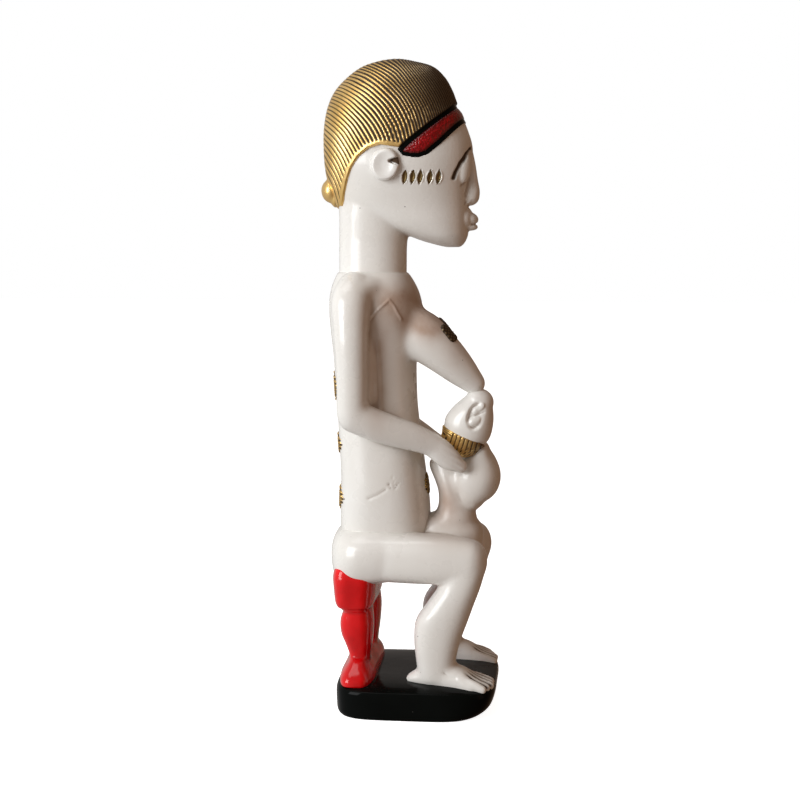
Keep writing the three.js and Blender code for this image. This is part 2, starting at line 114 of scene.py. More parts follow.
def limb(rows, power=2.2, around=48, steps=8, dome=1.0, side=(0, 1, 0)):
    """A form along a curve. Each row is x, y, z, radius up and radius sideways. The ends are domes."""
    rows = np.asarray(rows, float)
    body = np.linspace(0, 1, (len(rows) - 1) * steps + 1)
    bend = np.linspace(0.12, 0.98, DOME_RINGS) * math.pi / 2
    t = np.concatenate([np.zeros(DOME_RINGS), body, np.ones(DOME_RINGS)])
    reach = np.concatenate([-np.sin(bend[::-1]), np.zeros(len(body)), np.sin(bend)]) * dome
    share = np.concatenate([np.cos(bend[::-1]), np.ones(len(body)), np.cos(bend)])
    table = spline(rows, t)
    along = spline(rows, np.minimum(t + 0.01, 1))[:, :3] - spline(rows, np.maximum(t - 0.01, 0))[:, :3]
    along /= np.linalg.norm(along, axis=1)[:, None]
    rings = []
    for (x, y, z, up, out), way, far, wide in zip(table, along, reach, share):
        across = np.asarray(side, float) - way * np.dot(way, side)
        across /= np.linalg.norm(across)
        rise = np.cross(way, across)
        middle = np.array([x, y, z]) + way * far * min(up, out)
        u, v = section(around, out * wide, up * wide, power)
        rings.append(middle + u[:, None] * across + v[:, None] * rise)
    return skin(rings)


def ball(middle, radii, turn=(0, 0, 0), around=40):
    """An ellipsoid, turned by three angles in degrees."""
    low = np.linspace(0.03, 0.97, around // 2) * math.pi
    u, v = section(around, 1, 1, 2)
    rings = [np.stack([u * math.sin(a), v * math.sin(a), np.full(around, -math.cos(a))], 1) for a in low]
    points, faces = skin(rings)
    turned = np.array(Euler([math.radians(a) for a in turn]).to_matrix())
    return points * radii @ turned.T + middle, faces


# %% [markdown]
# ## From forms to one skin
# Rough forms that overlap are joined by a voxel remesh, which is Blender's way to give many solids
# one even skin. Then every point moves a little towards its neighbours, again and again. That wears
# the creases down to soft fillets, as sanding and several coats of enamel do on the real figure.


# %% Meshes in and out of numpy
def to_object(name, points, faces):
    mesh = bpy.data.meshes.new(name)
    mesh.from_pydata((np.asarray(points) * MM).tolist(), [], faces)
    mesh.update()
    piece = bpy.data.objects.new(name, mesh)
    bpy.context.scene.collection.objects.link(piece)
    return piece


def joined(forms):
    points, faces, count = [], [], 0
    for form_points, form_faces in forms:
        points.append(form_points)
        faces += [tuple(i + count for i in face) for face in form_faces]
        count += len(form_points)
    return np.concatenate(points), faces


def points_of(piece):
    flat = np.empty(len(piece.data.vertices) * 3)
    piece.data.vertices.foreach_get("co", flat)
    return flat.reshape(-1, 3) / MM


def normals_of(piece):
    flat = np.empty(len(piece.data.vertices) * 3)
    piece.data.vertices.foreach_get("normal", flat)
    return flat.reshape(-1, 3)


def edges_of(piece):
    flat = np.empty(len(piece.data.edges) * 2, dtype=np.int32)
    piece.data.edges.foreach_get("vertices", flat)
    return flat.reshape(-1, 2)


def set_points(piece, points):
    piece.data.vertices.foreach_set("co", (points * MM).ravel())
    piece.data.update()


def bake_modifiers(piece):
    """Makes what the modifiers give the mesh itself."""
    shape = piece.evaluated_get(bpy.context.evaluated_depsgraph_get())
    mesh = bpy.data.meshes.new_from_object(shape)
    piece.modifiers.clear()
    piece.data = mesh


def keep_value(piece, name, values):
    """Stores a number on every point, for the finish to read."""
    layer = piece.data.attributes.get(name) or piece.data.attributes.new(name, "FLOAT", "POINT")
    layer.data.foreach_set("value", np.asarray(values, np.float32))


# %% Wearing and cutting
def worn(points, edges, rounds, pace=0.5):
    """Each point goes part of the way to the middle of its neighbours, for some rounds."""
    points = points.copy()
    pace = np.broadcast_to(np.asarray(pace, float), len(points))[:, None]
    a, b, count = edges[:, 0], edges[:, 1], len(points)
    links = np.maximum(np.bincount(edges.ravel(), minlength=count), 1)[:, None]
    for _ in range(rounds):
        total = [np.bincount(a, points[b, k], count) + np.bincount(b, points[a, k], count) for k in range(3)]
        points += pace * (np.stack(total, 1) / links - points)
    return points


def carve(name, forms, grain, rounds, pace=None):
    """Joins forms into one skin of that grain, in mm, and wears its creases."""
    piece = to_object(name, *joined(forms))
    tool = piece.modifiers.new("skin", "REMESH")
    tool.mode = "VOXEL"
    tool.voxel_size = grain * MM
    bake_modifiers(piece)
    points = points_of(piece)
    speed = 0.5 if pace is None else 0.5 * pace(points)
    set_points(piece, worn(points, edges_of(piece), rounds, speed))
    print(name, "has", len(points), "points")
    return piece


def press(piece, depth):
    """Moves each point along its normal by depth(points, normals), in mm."""
    points, normals = points_of(piece), normals_of(piece)
    set_points(piece, points + normals * depth(points, normals)[:, None])


def step(low, high, values):
    """0 below low, 1 above high, and an even curve between."""
    t = np.clip((values - low) / (high - low), 0, 1)
    return t * t * (3 - 2 * t)


def finish_piece(piece, hollow_depth=0.35, rounds=24):
    """Smooth shading, and how sunken the surface is at each point, where the finishes paint shade."""
    piece.data.shade_smooth()
    points = points_of(piece)
    sunk = ((worn(points, edges_of(piece), rounds) - points) * normals_of(piece)).sum(1)
    keep_value(piece, "hollow_shade", np.clip(sunk / hollow_depth, 0, 1))


# %% Distances on the surface
def side_view(points):
    """Where each point lies as seen from the mother's side: x and z."""
    return points[:, [0, 2]]


def to_path(points, path):
    """Distance from each flat point to an open path of straight stretches."""
    path = np.asarray(path, float)
    best = np.full(len(points), 1e9)
    for a, b in zip(path[:-1], path[1:]):
        way = b - a
        t = np.clip(((points - a) @ way) / (way @ way), 0, 1)
        best = np.minimum(best, np.linalg.norm(points - a - t[:, None] * way, axis=1))
    return best


def inside(points, outline):
    """Distance to a closed outline: positive inside it."""
    outline = np.asarray(outline, float)
    loop = np.concatenate([outline, outline[:1]])
    odd = np.zeros(len(points), bool)
    for (ax, az), (bx, bz) in zip(loop[:-1], loop[1:]):
        spans = (az > points[:, 1]) != (bz > points[:, 1])
        with np.errstate(divide="ignore", invalid="ignore"):
            cross = ax + (points[:, 1] - az) / (bz - az) * (bx - ax)
        odd ^= spans & (points[:, 0] < cross)
    return np.where(odd, 1, -1) * to_path(points, loop)


def ripple(points, size):
    """A gentle hand-made unevenness between -1 and 1, of about that size in mm."""
    x, y, z = (points / size).T
    return (np.sin(x * 2.1 + np.sin(z * 1.3)) + np.sin(y * 2.4 + np.sin(x * 1.7)) + np.sin(z * 1.9 + y)) / 3


# %% [markdown]
# ## The mother's trunk, arms and breasts
# These are one run of white on the real figure: the shoulder flows into the arm and the breast with
# no seam. The right arm is bent, and its hand holds the child's head. The left one mirrors it, lower
# and behind. Wearing is stronger on the trunk than on the hands, which keep their edges.

# %% Trunk and arms
TORSO = [
    [100, -45.4, 7.2, 26.5],
    [111, -45.8, 7.8, 27.6],
    [122, -45.7, 7.4, 28.2],
    [134, -45.4, 5.8, 28],
    [147, -45.7, 4, 27],
    [162, -46.6, 2.2, 25.8],
    [178, -47.6, 0.2, 25.2],
    [193, -48.6, -0.6, 25.8],
    [208, -49.4, -0.6, 27.5],
    [222, -50.9, 1, 29.5],
    [234, -51.9, 2.8, 31],
    [243, -51.7, 1.7, 30.2],
    [250, -50.4, -0.8, 26.8],
    [255, -48.6, -3.6, 21.8],
    [259, -46.9, -6, 17.5],
]
ARMPIT = [
    [-30, 22, 238, 7, 7],
    [-27, 25, 212, 6, 6.4],
    [-27, 25, 188, 6, 6.4],
]
SHOULDERS = [
    [-34, -28, 246, 9, 11],
    [-29, -14, 250, 8, 15],
    [-29, 14, 250, 8, 15],
    [-34, 28, 246, 9, 11],
]
FOREARMS = {
    RIGHT: [
        [-34, -35, 177, 9.6, 8.6],
        [-18, -31.5, 170, 9.4, 8.2],
        [-2, -27, 164.6, 8.4, 7.4],
        [11, -23.4, 159.4, 7, 6],
    ],
    LEFT: [
        [-34, 35, 176, 9.6, 8.6],
        [-17, 31.5, 166.4, 9.2, 8.2],
        [-2, 27, 158.6, 8, 7.2],
        [9, 23.4, 152.4, 6.8, 6],
    ],
}
HANDS = {
    RIGHT: [
        [10, -23.8, 160, 6.8, 5.6],
        [16, -22.8, 155, 7.4, 5],
        [21.8, -21.2, 149.8, 6.6, 4.4],
        [27.4, -18.8, 145.8, 4.2, 4],
    ],
    LEFT: [
        [9, 23.6, 152.6, 6.6, 5.6],
        [16, 21.8, 147.6, 7.4, 5],
        [23, 19, 141.6, 6.8, 4.6],
        [29, 16, 135, 5.4, 4],
    ],
}
BREASTS = {
    RIGHT: [
        [-15, -11, 231, 14, 8],
        [-4, -12, 225.8, 14.4, 10],
        [6, -12.8, 219.8, 14.2, 11.8],
        [17, -12, 210.8, 12.2, 11],
        [26.6, -10, 201.4, 9.8, 9.4],
        [34.2, -8.4, 193.6, 7, 7],
    ],
    LEFT: [
        [-15, 11, 231, 13, 8],
        [-4, 12.6, 225, 13, 10],
        [6, 14, 219, 12.6, 11],
        [16, 15, 211.6, 8.8, 8.4],
        [22, 15.6, 207.4, 4.6, 4.8],
    ],
}


def upper_arm(side):
    return limb(
        [
            [-35, side * 22, 250, 9.4, 10],
            [-35.6, side * 30.5, 241.5, 11.4, 10.8],
            [-35, side * 35, 225, 10, 9.2],
            [-34.4, side * 35.6, 200, 9.2, 8.6],
            [-34.4, side * 35, 178, 9.2, 8.6],
        ]
    )


trunk_forms = [stack(TORSO, power=2.6), limb(SHOULDERS, side=(1, 0, 0))]
for side in SIDES:
    trunk_forms += [upper_arm(side), limb(FOREARMS[side]), limb(HANDS[side]), limb(BREASTS[side])]
    trunk_forms.append(limb([[x, side * y, z, up, out] for x, y, z, up, out in ARMPIT]))


def trunk_pace(points):
    """Hands, at the front below the breasts, are worn less, and the chest is worn most."""
    x, z = points[:, 0], points[:, 2]
    return 0.62 + 0.38 * step(196, 206, z) * step(-24, -16, x) - 0.42 * step(8, 14, x) * step(176, 168, z)


trunk = carve("carved_trunk_and_arms", trunk_forms, grain=0.75, rounds=64, pace=trunk_pace)

# %% [markdown]
# Small cuts come after the wearing, so that they stay crisp: the fingers of each hand, shallow dents on
# the flank that the paint has filled but not hidden, and the ridges that the gouge left in the armpit.
# On the chest and in the armpit the enamel is painted a warmer brown as painted shade, and there it is also
# rubbed to less gloss. The finish reads that share as a number stored on every point, in the same way as it
# reads how sunken the surface is.


# %% Fingers, dents and ridges
FINGER_PITCH = 3.4
FINGER_SLOPE = 0.62
SCUFF = (-11.2, 136.6)
SLIP = [(-26, 127.4), (-20.6, 129.8), (-16, 132.8)]
ARMPIT_RIDGE = [(-25.2, 231.8), (-20.6, 237), (-13.7, 243.4), (-10.8, 239.9), (-6.8, 232)]
ARM_FOLD = [(-20, 220), (-19.5, 200), (-19, 180)]


def trunk_cuts(points, normals):
    seen = side_view(points)
    x, z = seen.T
    fingers = step(17, 25, x) * step(168, 160, z) * step(14, 9, np.abs(z - 148 + (x - 24) * 0.6))
    across = z - 150 + FINGER_SLOPE * (x - 24)
    grooves = -0.45 * fingers * np.clip(np.cos(across * 2 * math.pi / FINGER_PITCH), 0, 1) ** 4
    flank = (normals[:, 1] < -0.5) * 1.0
    scuff = step(5.4, 2.2, np.hypot(x - SCUFF[0], z - SCUFF[1]))
    rough = ripple(points, 1.3) * ripple(points[:, ::-1], 0.9)
    dents = -0.9 * flank * scuff * np.clip(0.12 + 2.2 * rough, 0, 1)
    dents -= 0.4 * flank * step(1.5, 0.2, to_path(seen, SLIP))
    ridge = 0.6 * flank * step(1.0, 0.1, to_path(seen, ARMPIT_RIDGE))
    fold = 0.35 * flank * step(1.3, 0.1, to_path(seen, ARM_FOLD))
    return grooves + dents + ridge + fold + 0.12 * ripple(points, 14)


def near(points, x, z, reach_x, reach_z):
    """1 at a place seen from the side, fading to 0 over that reach."""
    return np.exp(-(((points[:, 0] - x) / reach_x) ** 2) - ((points[:, 2] - z) / reach_z) ** 2)


press(trunk, trunk_cuts)
finish_piece(trunk)
# Painted shade, warm brown, on the chest, in the armpits and on the tops of the breasts.
shade_points = points_of(trunk)
shade_and_rub = near(shade_points, -8, 240, 14, 13) + near(shade_points, 9, 228, 12, 9)
shade_and_rub += 0.6 * near(shade_points, -20, 205, 6, 34) + 0.4 * near(shade_points, 24, 214, 8, 12)
keep_value(trunk, "shade_and_rub", np.clip(1.2 * shade_and_rub, 0, 1))

# %% [markdown]
# ## Hips, legs, feet and the child's body
# The mother's lap and the child's body are one smooth flow of white, so they are one piece. The
# thighs lie level on the stool, the shins slope back to the feet, and the child sits on a saddle of
# wood between the thighs. Its back is a round bulge, and its legs stand on the lap in front of her.

# %% Legs and feet
LEG = 27.0
HIPS = [
    [76.5, -44, -12, 28],
    [80, -49, -5, 34],
    [87, -50.4, -1, 37],
    [94, -50.6, 1, 37.4],
    [100, -49.6, 2, 36],
    [104.5, -47.4, 2, 32],
    [107.5, -44, 1, 27],
]
SHIN = [
    [20, 4, 24.6, 9.4],
    [31, 2.2, 25.4, 9.8],
    [43, 0.8, 28, 11],
    [56, 1.8, 32.6, 12.2],
    [66, 8.4, 36, 12.4],
    [76, 15, 39.6, 12.4],
    [88, 19.5, 43, 12],
]
TOES = 5
TOE_PITCH = 4.6
FOOT_TURN, TOE_DROP = 5, 3
ANKLE = LEG - 1


def thigh(side):
    return limb(
        [
            [-30, side * 19, 91.5, 14.2, 15.5],
            [-8, side * 23, 92, 14.6, 14.8],
            [14, side * 26, 92, 14.4, 13.4],
            [33, side * LEG, 91, 13.2, 12.4],
        ],
        power=2.8,
        dome=0.86,
    )


def settled(form, side):
    """Turns a foot's form out a little, tips its toes down and sets it on the plinth."""
    points, faces = form
    turned = np.array(Euler((0, math.radians(TOE_DROP), math.radians(side * FOOT_TURN))).to_matrix())
    return points @ turned.T + [0, side * ANKLE, 1.6], faces


def foot(side):
    sole = [
        [-2.6, 0, 18.4, 2.6, 5],
        [3, 0, 19.8, 5, 7],
        [14, 0, 21.4, 8.4, 8.4],
        [25, 0, 20.6, 8.4, 9.8],
        [35, 0, 18.6, 5.4, 11.2],
    ]
    forms = [limb(sole, power=2.4)]
    for i in range(TOES):
        out = (i - (TOES - 1) / 2) * TOE_PITCH
        tip = 45.2 - 0.22 * abs(out) - 0.12 * out
        toe = [
            [27, side * out * 0.74, 21.4, 4, 2.3],
            [36, side * out * 0.93, 20.2, 3.4, 2.25],
            [tip, side * out, 18.6, 2.5, 2.2],
        ]
        forms.append(limb(toe, around=24))
    return [settled(form, side) for form in forms]


# %% The lap and the child's body
LAP = [
    [90, -6, 38, 15],
    [100, -6, 40, 16],
    [107, -2, 39.4, 15.6],
    [111.6, 3, 35, 14],
    [114.4, 8, 31, 11.6],
]
CHILD_BODY = [
    [38.6, -4, 154, 5, 8],
    [37.6, -2.6, 147.4, 10.6, 12],
    [36.2, -1.6, 140, 14.2, 14.8],
    [34.2, -1.2, 132.6, 14, 14.8],
    [31.6, -0.6, 126.4, 10, 13],
]
# The child's folded legs reach from under its body, back and down to the lap.
CHILD_LEGS = [
    [112, 8, 36, 15],
    [116, 11.4, 35, 13.6],
    [121, 13, 32, 12.8],
    [128, 12.8, 32, 12.4],
    [135, 10.6, 33, 12],
    [142, 7.6, 33, 10],
    [147, 7, 32, 8],
]
leg_forms = [stack(HIPS, power=2.9), stack(LAP, power=2.6), limb(CHILD_BODY), stack(CHILD_LEGS, power=2.3)]
for side in SIDES:
    leg_forms += [thigh(side), stack(SHIN, y=side * LEG, power=2.5)] + foot(side)


def leg_pace(points):
    """The toes keep their edges."""
    return 1 - 0.82 * step(26, 31, points[:, 0]) * step(34, 30, points[:, 2])


legs = carve("carved_legs_and_child", leg_forms, grain=0.75, rounds=26, pace=leg_pace)

# %% [markdown]
# The toes are parted by cuts with brown paint left in them, so the same lines are read twice: once to
# press the cuts in, and once, a little wider, for the paint.

# %% Toes, ankles and folds
UNDER_BODY = [(19.5, 137.5), (22, 130), (27, 124.4), (32, 122)]
ANKLE_CREASE = [(19, 26.5), (22, 24.6), (26, 24)]


def toe_line(points, wide):
    """1 in the four cuts that part the toes of each foot, and 0 beyond them."""
    x, y, z = points.T
    across = np.abs(y) - ANKLE
    turn = math.radians(FOOT_TURN)
    along = x * math.cos(turn) + across * math.sin(turn)
    out = across * math.cos(turn) - x * math.sin(turn)
    spread = TOE_PITCH * (0.62 + 0.38 * step(26, 42, along))
    number = out / spread
    from_cut = np.abs(number - np.clip(np.round(number - 0.5) + 0.5, -1.5, 1.5)) * spread
    return step(wide, 0.15, from_cut) * step(27, 30, along) * step(17.6, 18.6, z) * step(27, 24, z)


def leg_cuts(points, normals):
    fold = -0.3 * step(3, 0, to_path(side_view(points), UNDER_BODY)) * (np.abs(points[:, 1]) < 16)
    ankle = -0.35 * step(1.4, 0, to_path(side_view(points), ANKLE_CREASE))
    return fold - toe_line(points, 1.1) + ankle + 0.13 * ripple(points, 13)


toe_lines = toe_line(points_of(legs), 1.35)
press(legs, leg_cuts)
finish_piece(legs)
keep_value(legs, "brown_paint_and_shade", 1.4 * toe_lines)
# Painted shade, warm brown, on the column under the child's body and, less, on the lap.
shade_points = points_of(legs)
shade_and_rub = near(shade_points, 16, 122, 13, 15) + 0.25 * near(shade_points, 34, 109, 11, 9)
keep_value(legs, "shade_and_rub", np.clip(shade_and_rub, 0, 1))

# %% [markdown]
# ## The mother's head
# A long neck carries an egg of a head with a straight nose, full lips pushed forward and downcast
# eyes like coffee beans. The face is carved forms too, but on a finer skin. The brow lines, the
# mouth's slit and the five cuts on each temple are pressed in afterwards.

# %% Skull, neck and features
SKULL = [
    [272.9, 17, 24.8, 4],
    [274.3, 11, 26.8, 8.6],
    [277, 1.4, 28.6, 13],
    [281, -9, 29.8, 16.8],
    [288, -27, 30, 20],
    [298, -45.5, 29.8, 22],
    [310, -50.4, 30.2, 24.8],
    [320, -52.8, 31.4, 26.6],
    [328, -53, 32.2, 27],
    [335, -52.8, 31.2, 27.2],
    [346, -52.4, 27, 26.8],
    [355, -50.4, 21.4, 25],
    [363.5, -45.4, 17.2, 21.4],
    [371, -37, 10.6, 15.6],
    [376.4, -27, -1, 9.4],
    [379, -18, -9, 3.4],
]
NAPE = [
    [250, -46.4, -6.6, 17.2],
    [262, -46.4, -6.4, 17.2],
    [275, -46.3, -6.2, 17.3],
    [282, -46.2, -5, 17.8],
    [290, -46.2, -4, 18.4],
    [300, -46.6, 2, 19.5],
]
NOSE = [
    [28.6, 0, 331, 3, 2.2],
    [29.4, 0, 321, 4.4, 2.6],
    [30.2, 0, 312, 5, 3.8],
    [30.6, 0, 305.6, 5.8, 5.8],
    [30.4, 0, 302.4, 5.8, 6.8],
]


def features():
    mouth = ball((27, 0, 289.4), (5.8, 9.4, 7.6))
    upper_lip = ball((30.6, 0, 289.6), (5.2, 6.4, 3.7), turn=(0, 16, 0))
    lower_lip = ball((30.6, 0, 284.6), (4.9, 5.4, 2.2))
    forms = [limb(NOSE, dome=0.95, around=32), mouth, upper_lip, lower_lip]
    for side in SIDES:
        nostril = ball((27.6, side * 5, 300.8), (4.6, 3, 3.4))
        eye = ball((27.6, side * 9.8, 319), (3.8, 5.2, 9.6), turn=(side * 8, 0, side * 38))
        forms += [nostril, eye]
    return forms


def head_pace(points):
    """The features keep their edges."""
    return 1 - 0.86 * step(20, 26, points[:, 0]) * step(334, 328, points[:, 2])


head_forms = [stack(SKULL, power=2.3), stack(NAPE, power=2.3)] + features()
head = carve("carved_head", head_forms, grain=0.5, rounds=26, pace=head_pace)

# %% Brow lines, eyelids, mouth and temple cuts
TEMPLE_MARKS = [-5.1, -0.6, 3.7, 9.2, 14]
TEMPLE_HEIGHT = 313.2
TEMPLE_LEAN = 0.14
LEAF_HALF_LENGTH, LEAF_HALF_WIDTH = 4.3, 1.7
BROW = [(4, 330.2), (8, 329.4), (12, 326.6), (15.2, 321.4), (16.6, 316), (16.8, 312.6)]
SOCKET = [(4.6, 327), (5.2, 318), (7.4, 311.6), (11.6, 308.6)]
BESIDE_NOSE = [(3.4, 322), (4.6, 312), (7.6, 304), (7.4, 298)]
MOUTH_HEIGHT = 286.4


def temple_leaf(points, normals):
    """Above 0 in a temple cut, up to 1 in its middle, and below 0 on the rim round it."""
    x, z = side_view(points).T
    leaf = np.full(len(points), -1.0)
    for place in TEMPLE_MARKS:
        u = x - place - TEMPLE_LEAN * (z - TEMPLE_HEIGHT)
        reach = 1 - ((z - TEMPLE_HEIGHT) / LEAF_HALF_LENGTH) ** 2
        half = LEAF_HALF_WIDTH * np.clip(reach, 0.02, 1)
        leaf = np.maximum(leaf, 1 - np.abs(u) / half - 3 * (reach < 0))
    return np.where(np.abs(normals[:, 1]) > 0.35, np.maximum(leaf, -1), -1)


def head_cuts(points, normals):
    x, y, z = points.T
    front = x > 12
    sides = np.stack([np.abs(y), z], 1)
    brow = -1.15 * front * step(1.5, 0.3, to_path(sides, BROW))
    socket = -0.7 * front * step(1.6, 0.2, to_path(sides, SOCKET))
    crease = -0.6 * (x > 25) * step(1.3, 0.1, to_path(sides, BESIDE_NOSE))
    mouth = -0.5 * (x > 32) * step(0.7, 0.1, np.abs(z - MOUTH_HEIGHT + 0.02 * y * y))
    leaf = temple_leaf(points, normals)
    rim = 0.42 * step(-0.75, -0.15, leaf) * step(0.22, 0, leaf)
    return brow + socket + crease + mouth - 1.3 * step(0.0, 0.6, leaf) + rim + 0.1 * ripple(points, 12)


leaf = temple_leaf(points_of(head), normals_of(head))
x, y, z = points_of(head).T
brow_line = step(1.35, 0.5, to_path(np.stack([np.abs(y), z], 1), BROW)) * (x > 14)
press(head, head_cuts)
finish_piece(head)
keep_value(head, "gilt", step(0.02, 0.16, leaf))
keep_value(head, "brown_paint_and_shade", brow_line)

# %% [markdown]
# ## Ears
# Each ear is a thick round disc, scooped into a curl that opens towards the face. A deep notch lies where the
# curl meets the temple, and the shade in it is painted dark.


# %% Ears
EAR_LEAN, EAR_TURN = 8, 10
EAR_FORWARD, EAR_OUT, EAR_HEIGHT = -16.4, 27.4, 320.4


def ear_notch(x, z):
    """1 in a wedge that opens towards the face."""
    half = 0.36 * (x - 2.6)
    return step(0.5, -0.2, np.abs(z - 2.4 - 0.1 * x) - half) * step(2.6, 3.6, x)


def ear(side, name):
    disc = ball((0, 0, 0), (8.6, 4.8, 9.4), around=96)
    piece = carve(name, [disc], grain=0.4, rounds=3)

    def scoop(points, normals):
        x, z = side_view(points).T
        outward = step(0.0, 0.6, normals[:, 1] * side)
        bowl = np.clip(1 - np.hypot((x - 1.2) / 7.0, (z + 0.2) / 7.6) ** 2.4, 0, 1)
        return outward * (-2.9 * bowl - 3.8 * ear_notch(x, z))

    press(piece, scoop)
    points = worn(points_of(piece), edges_of(piece), 3)
    notch = ear_notch(points[:, 0], points[:, 2]) * (points[:, 1] * side > -1)
    turned = np.array(Euler((0, math.radians(EAR_LEAN), math.radians(side * EAR_TURN))).to_matrix())
    set_points(piece, points @ turned.T + [EAR_FORWARD, side * EAR_OUT, EAR_HEIGHT])
    finish_piece(piece)
    # The dark in the notch is painted shade.
    keep_value(piece, "brown_paint_and_shade", notch * 1.6)
    return piece


ears = {side: ear(side, f"carved_{name}_ear") for side, name in SIDES.items()}

# %% [markdown]
# ## Shells that hug a form
# Hair, headband and scars are raised a millimetre or two above the wood round them. Each is a fine
# copy of the form under it, lifted where its outline says and cut away elsewhere, then thickened
# inwards so that it is a closed piece that sits in the wood.


# %% Making a shell
MARGIN = 1.2


def shell(name, form, reach, lift, depth=2.0, values=None):
    """reach(points) is above 0 on the piece, in mm from its edge, and lift moves it out.

    The form runs on past that edge by the margin, where the lift sinks it into the wood.
    """
    piece = to_object(name, *form)
    points, normals = points_of(piece), normals_of(piece)
    edge = reach(points)
    kept = set(np.nonzero(edge > -MARGIN)[0].tolist())
    faces = [face for face in form[1] if all(i in kept for i in face)]
    used = sorted({i for face in faces for i in face})
    place = {old: new for new, old in enumerate(used)}
    raised = points + normals * lift(points, edge)[:, None]
    bpy.data.objects.remove(piece)
    piece = to_object(name, raised[used], [tuple(place[i] for i in face) for face in faces])
    for key, found in (values(points, edge) if values else {}).items():
        keep_value(piece, key, found[used])
    back = piece.modifiers.new("back", "SOLIDIFY")
    back.thickness = depth * MM
    back.offset = -1
    bake_modifiers(piece)
    piece.data.shade_smooth()
    print(name, "has", len(piece.data.vertices), "points")
    return piece


# %% [markdown]
# ## The hair
# Fine gouge cuts about 2 mm apart run down from the crown in arcs that steepen towards the headband.
# They are copies of one arc, moved along a line, so a closed formula numbers them: the distance a
# point has gone along that line, less the height of the arc there. Over the forehead the cuts close
# up towards the middle, so that they meet in arches. A smooth raised rim follows the hairline from
# the headband, over the ear, down to the nape.

# %% Hair
HAIR = [
    [292, -46, 24, 18],
    [298, -49, 30, 21.6],
    [308, -52.2, 32, 25],
    [320, -54.6, 32.6, 27.6],
    [333, -55.2, 33.6, 29.2],
    [344, -54.6, 29.8, 29.2],
    [354, -52.6, 24, 27.6],
    [363, -48.4, 20.4, 24.2],
    [371, -41, 15.6, 19],
    [377, -32.6, 8.6, 12.6],
    [380.2, -23, -2, 6.6],
    [381.4, -16, -8, 2.8],
    [381.7, -12.4, -11.6, 0.3],
]
HAIRLINE = [
    (-7.6, 329.4), (-18.8, 331), (-25.5, 329), (-31.4, 324.4),
    (-35.6, 318.4), (-38.6, 311), (-40.6, 304), (-42.4, 296),
]
FOREHEAD = [(60, 390), (24.7, 356.2), (18.5, 350.6), (8.6, 342.6), (-1.4, 334.6)]
HAIR_OUTLINE = FOREHEAD + HAIRLINE + [(-90, 294), (-90, 420), (60, 420)]
CUT_PITCH = 2.35
CUT_ARC = 50.0
CUT_SLOPE = math.radians(39)
CUT_WAY = np.array([math.cos(CUT_SLOPE), math.sin(CUT_SLOPE)])
CUT_START = np.array([-54.8, 321.9])


def cut_number(points):
    """Which cut a point lies at: whole numbers are grooves."""
    flat = side_view(points) - CUT_START
    along, off = flat @ CUT_WAY, flat @ np.array([-CUT_WAY[1], CUT_WAY[0]])
    arc = along - np.sqrt(np.maximum(CUT_ARC**2 - off**2, 100))
    arc += 0.42 * ripple(points, 15) + 0.22 * ripple(points[:, ::-1], 5)
    arc += 0.6 * step(-12, 10, points[:, 0]) * np.maximum(26 - np.abs(points[:, 1]), 0)
    return arc / CUT_PITCH + 0.1 * np.maximum(arc - 8, 0)


def groove(points):
    """1 at the bottom of a cut and 0 on the ridge. It fades on the rim along the hairline."""
    rim = step(2.4, 3.6, to_path(side_view(points), HAIRLINE))
    wave = 0.5 + 0.5 * np.cos(cut_number(points) * 2 * math.pi)
    narrow = 0.52 * step(-26, -44, points[:, 0])
    wide = 0.14 * step(-26, -8, points[:, 0])
    return step(0.2 + narrow - wide, 0.85 + 0.25 * narrow - 1.6 * wide, wave) * rim


def hair_reach(points):
    return inside(side_view(points), HAIR_OUTLINE)


def hair_lift(points, edge):
    rim = step(4.2, 2.2, to_path(side_view(points), HAIRLINE))
    depth = 0.14 + 0.3 * step(2, 11, np.abs(points[:, 1]))
    return -3.4 * step(1.1, -0.3, edge) + 0.35 * rim - depth * groove(points) + 0.12 * ripple(points, 10)


def hair_values(points, edge):
    x, z = side_view(points).T
    front_edge = step(1.7, 0.8, edge) * step(-9, -6, x)
    # Painted shade: the gold is darker along the hair's edge and on the front and top of the hair.
    return {
        "groove": np.maximum(groove(points), front_edge),
        "hollow_shade": step(0.9, 0.1, edge),
        "shade_by_place": step(-16, 22, x + 0.45 * (z - 350)),
    }


hair_form = stack(HAIR, power=2.25, around=560, steps=26)
hair = shell("carved_hair", hair_form, hair_reach, hair_lift, depth=2.4, values=hair_values)

# %% The knot at the nape
KNOT = [
    ball((-50.2, 0, 305.6), (6.6, 9.4, 7.4)),
    ball((-45.6, 0, 302.2), (6.8, 8.8, 7.2)),
    ball((-49.6, 0, 311), (4.4, 7, 4.4)),
]


def knot_cuts(points, normals):
    """One cut where the knot is tied, and hand-made unevenness."""
    x, z = side_view(points).T
    tie = np.abs(x + 45.8 - 0.25 * (z - 304))
    return -0.5 * step(1.3, 0.2, tie) + 0.2 * ripple(points, 4)


knot = carve("carved_hair_knot", KNOT, grain=0.5, rounds=8)
press(knot, knot_cuts)
finish_piece(knot)

# %% [markdown]
# ## The headband
# A red band runs over the forehead and ends in a rounded tip in front of each ear. A black line goes
# all round it, thicker below. The band and the line are two shells on the form of the hair.

# %% Headband and its border
BAND = [
    (-8.2, 327), (-6.3, 324.8), (-1.4, 323.8), (3.6, 323.6), (8.6, 325.4), (16, 331.6), (24.7, 340.4),
    (42, 357.6), (42, 373), (24.7, 355.6), (18.5, 350), (8.6, 342), (-1.4, 334), (-5.4, 330.6),
]
RED_INSET = 1.9
RED_RISE = (-0.5, 0.6)
UNDER_HAIR = (-1.1, 1.5)


def border_reach(points):
    """The black runs on a little way under the edge of the hair."""
    return np.maximum(inside(side_view(points), BAND), inside(side_view(points) - UNDER_HAIR, BAND))


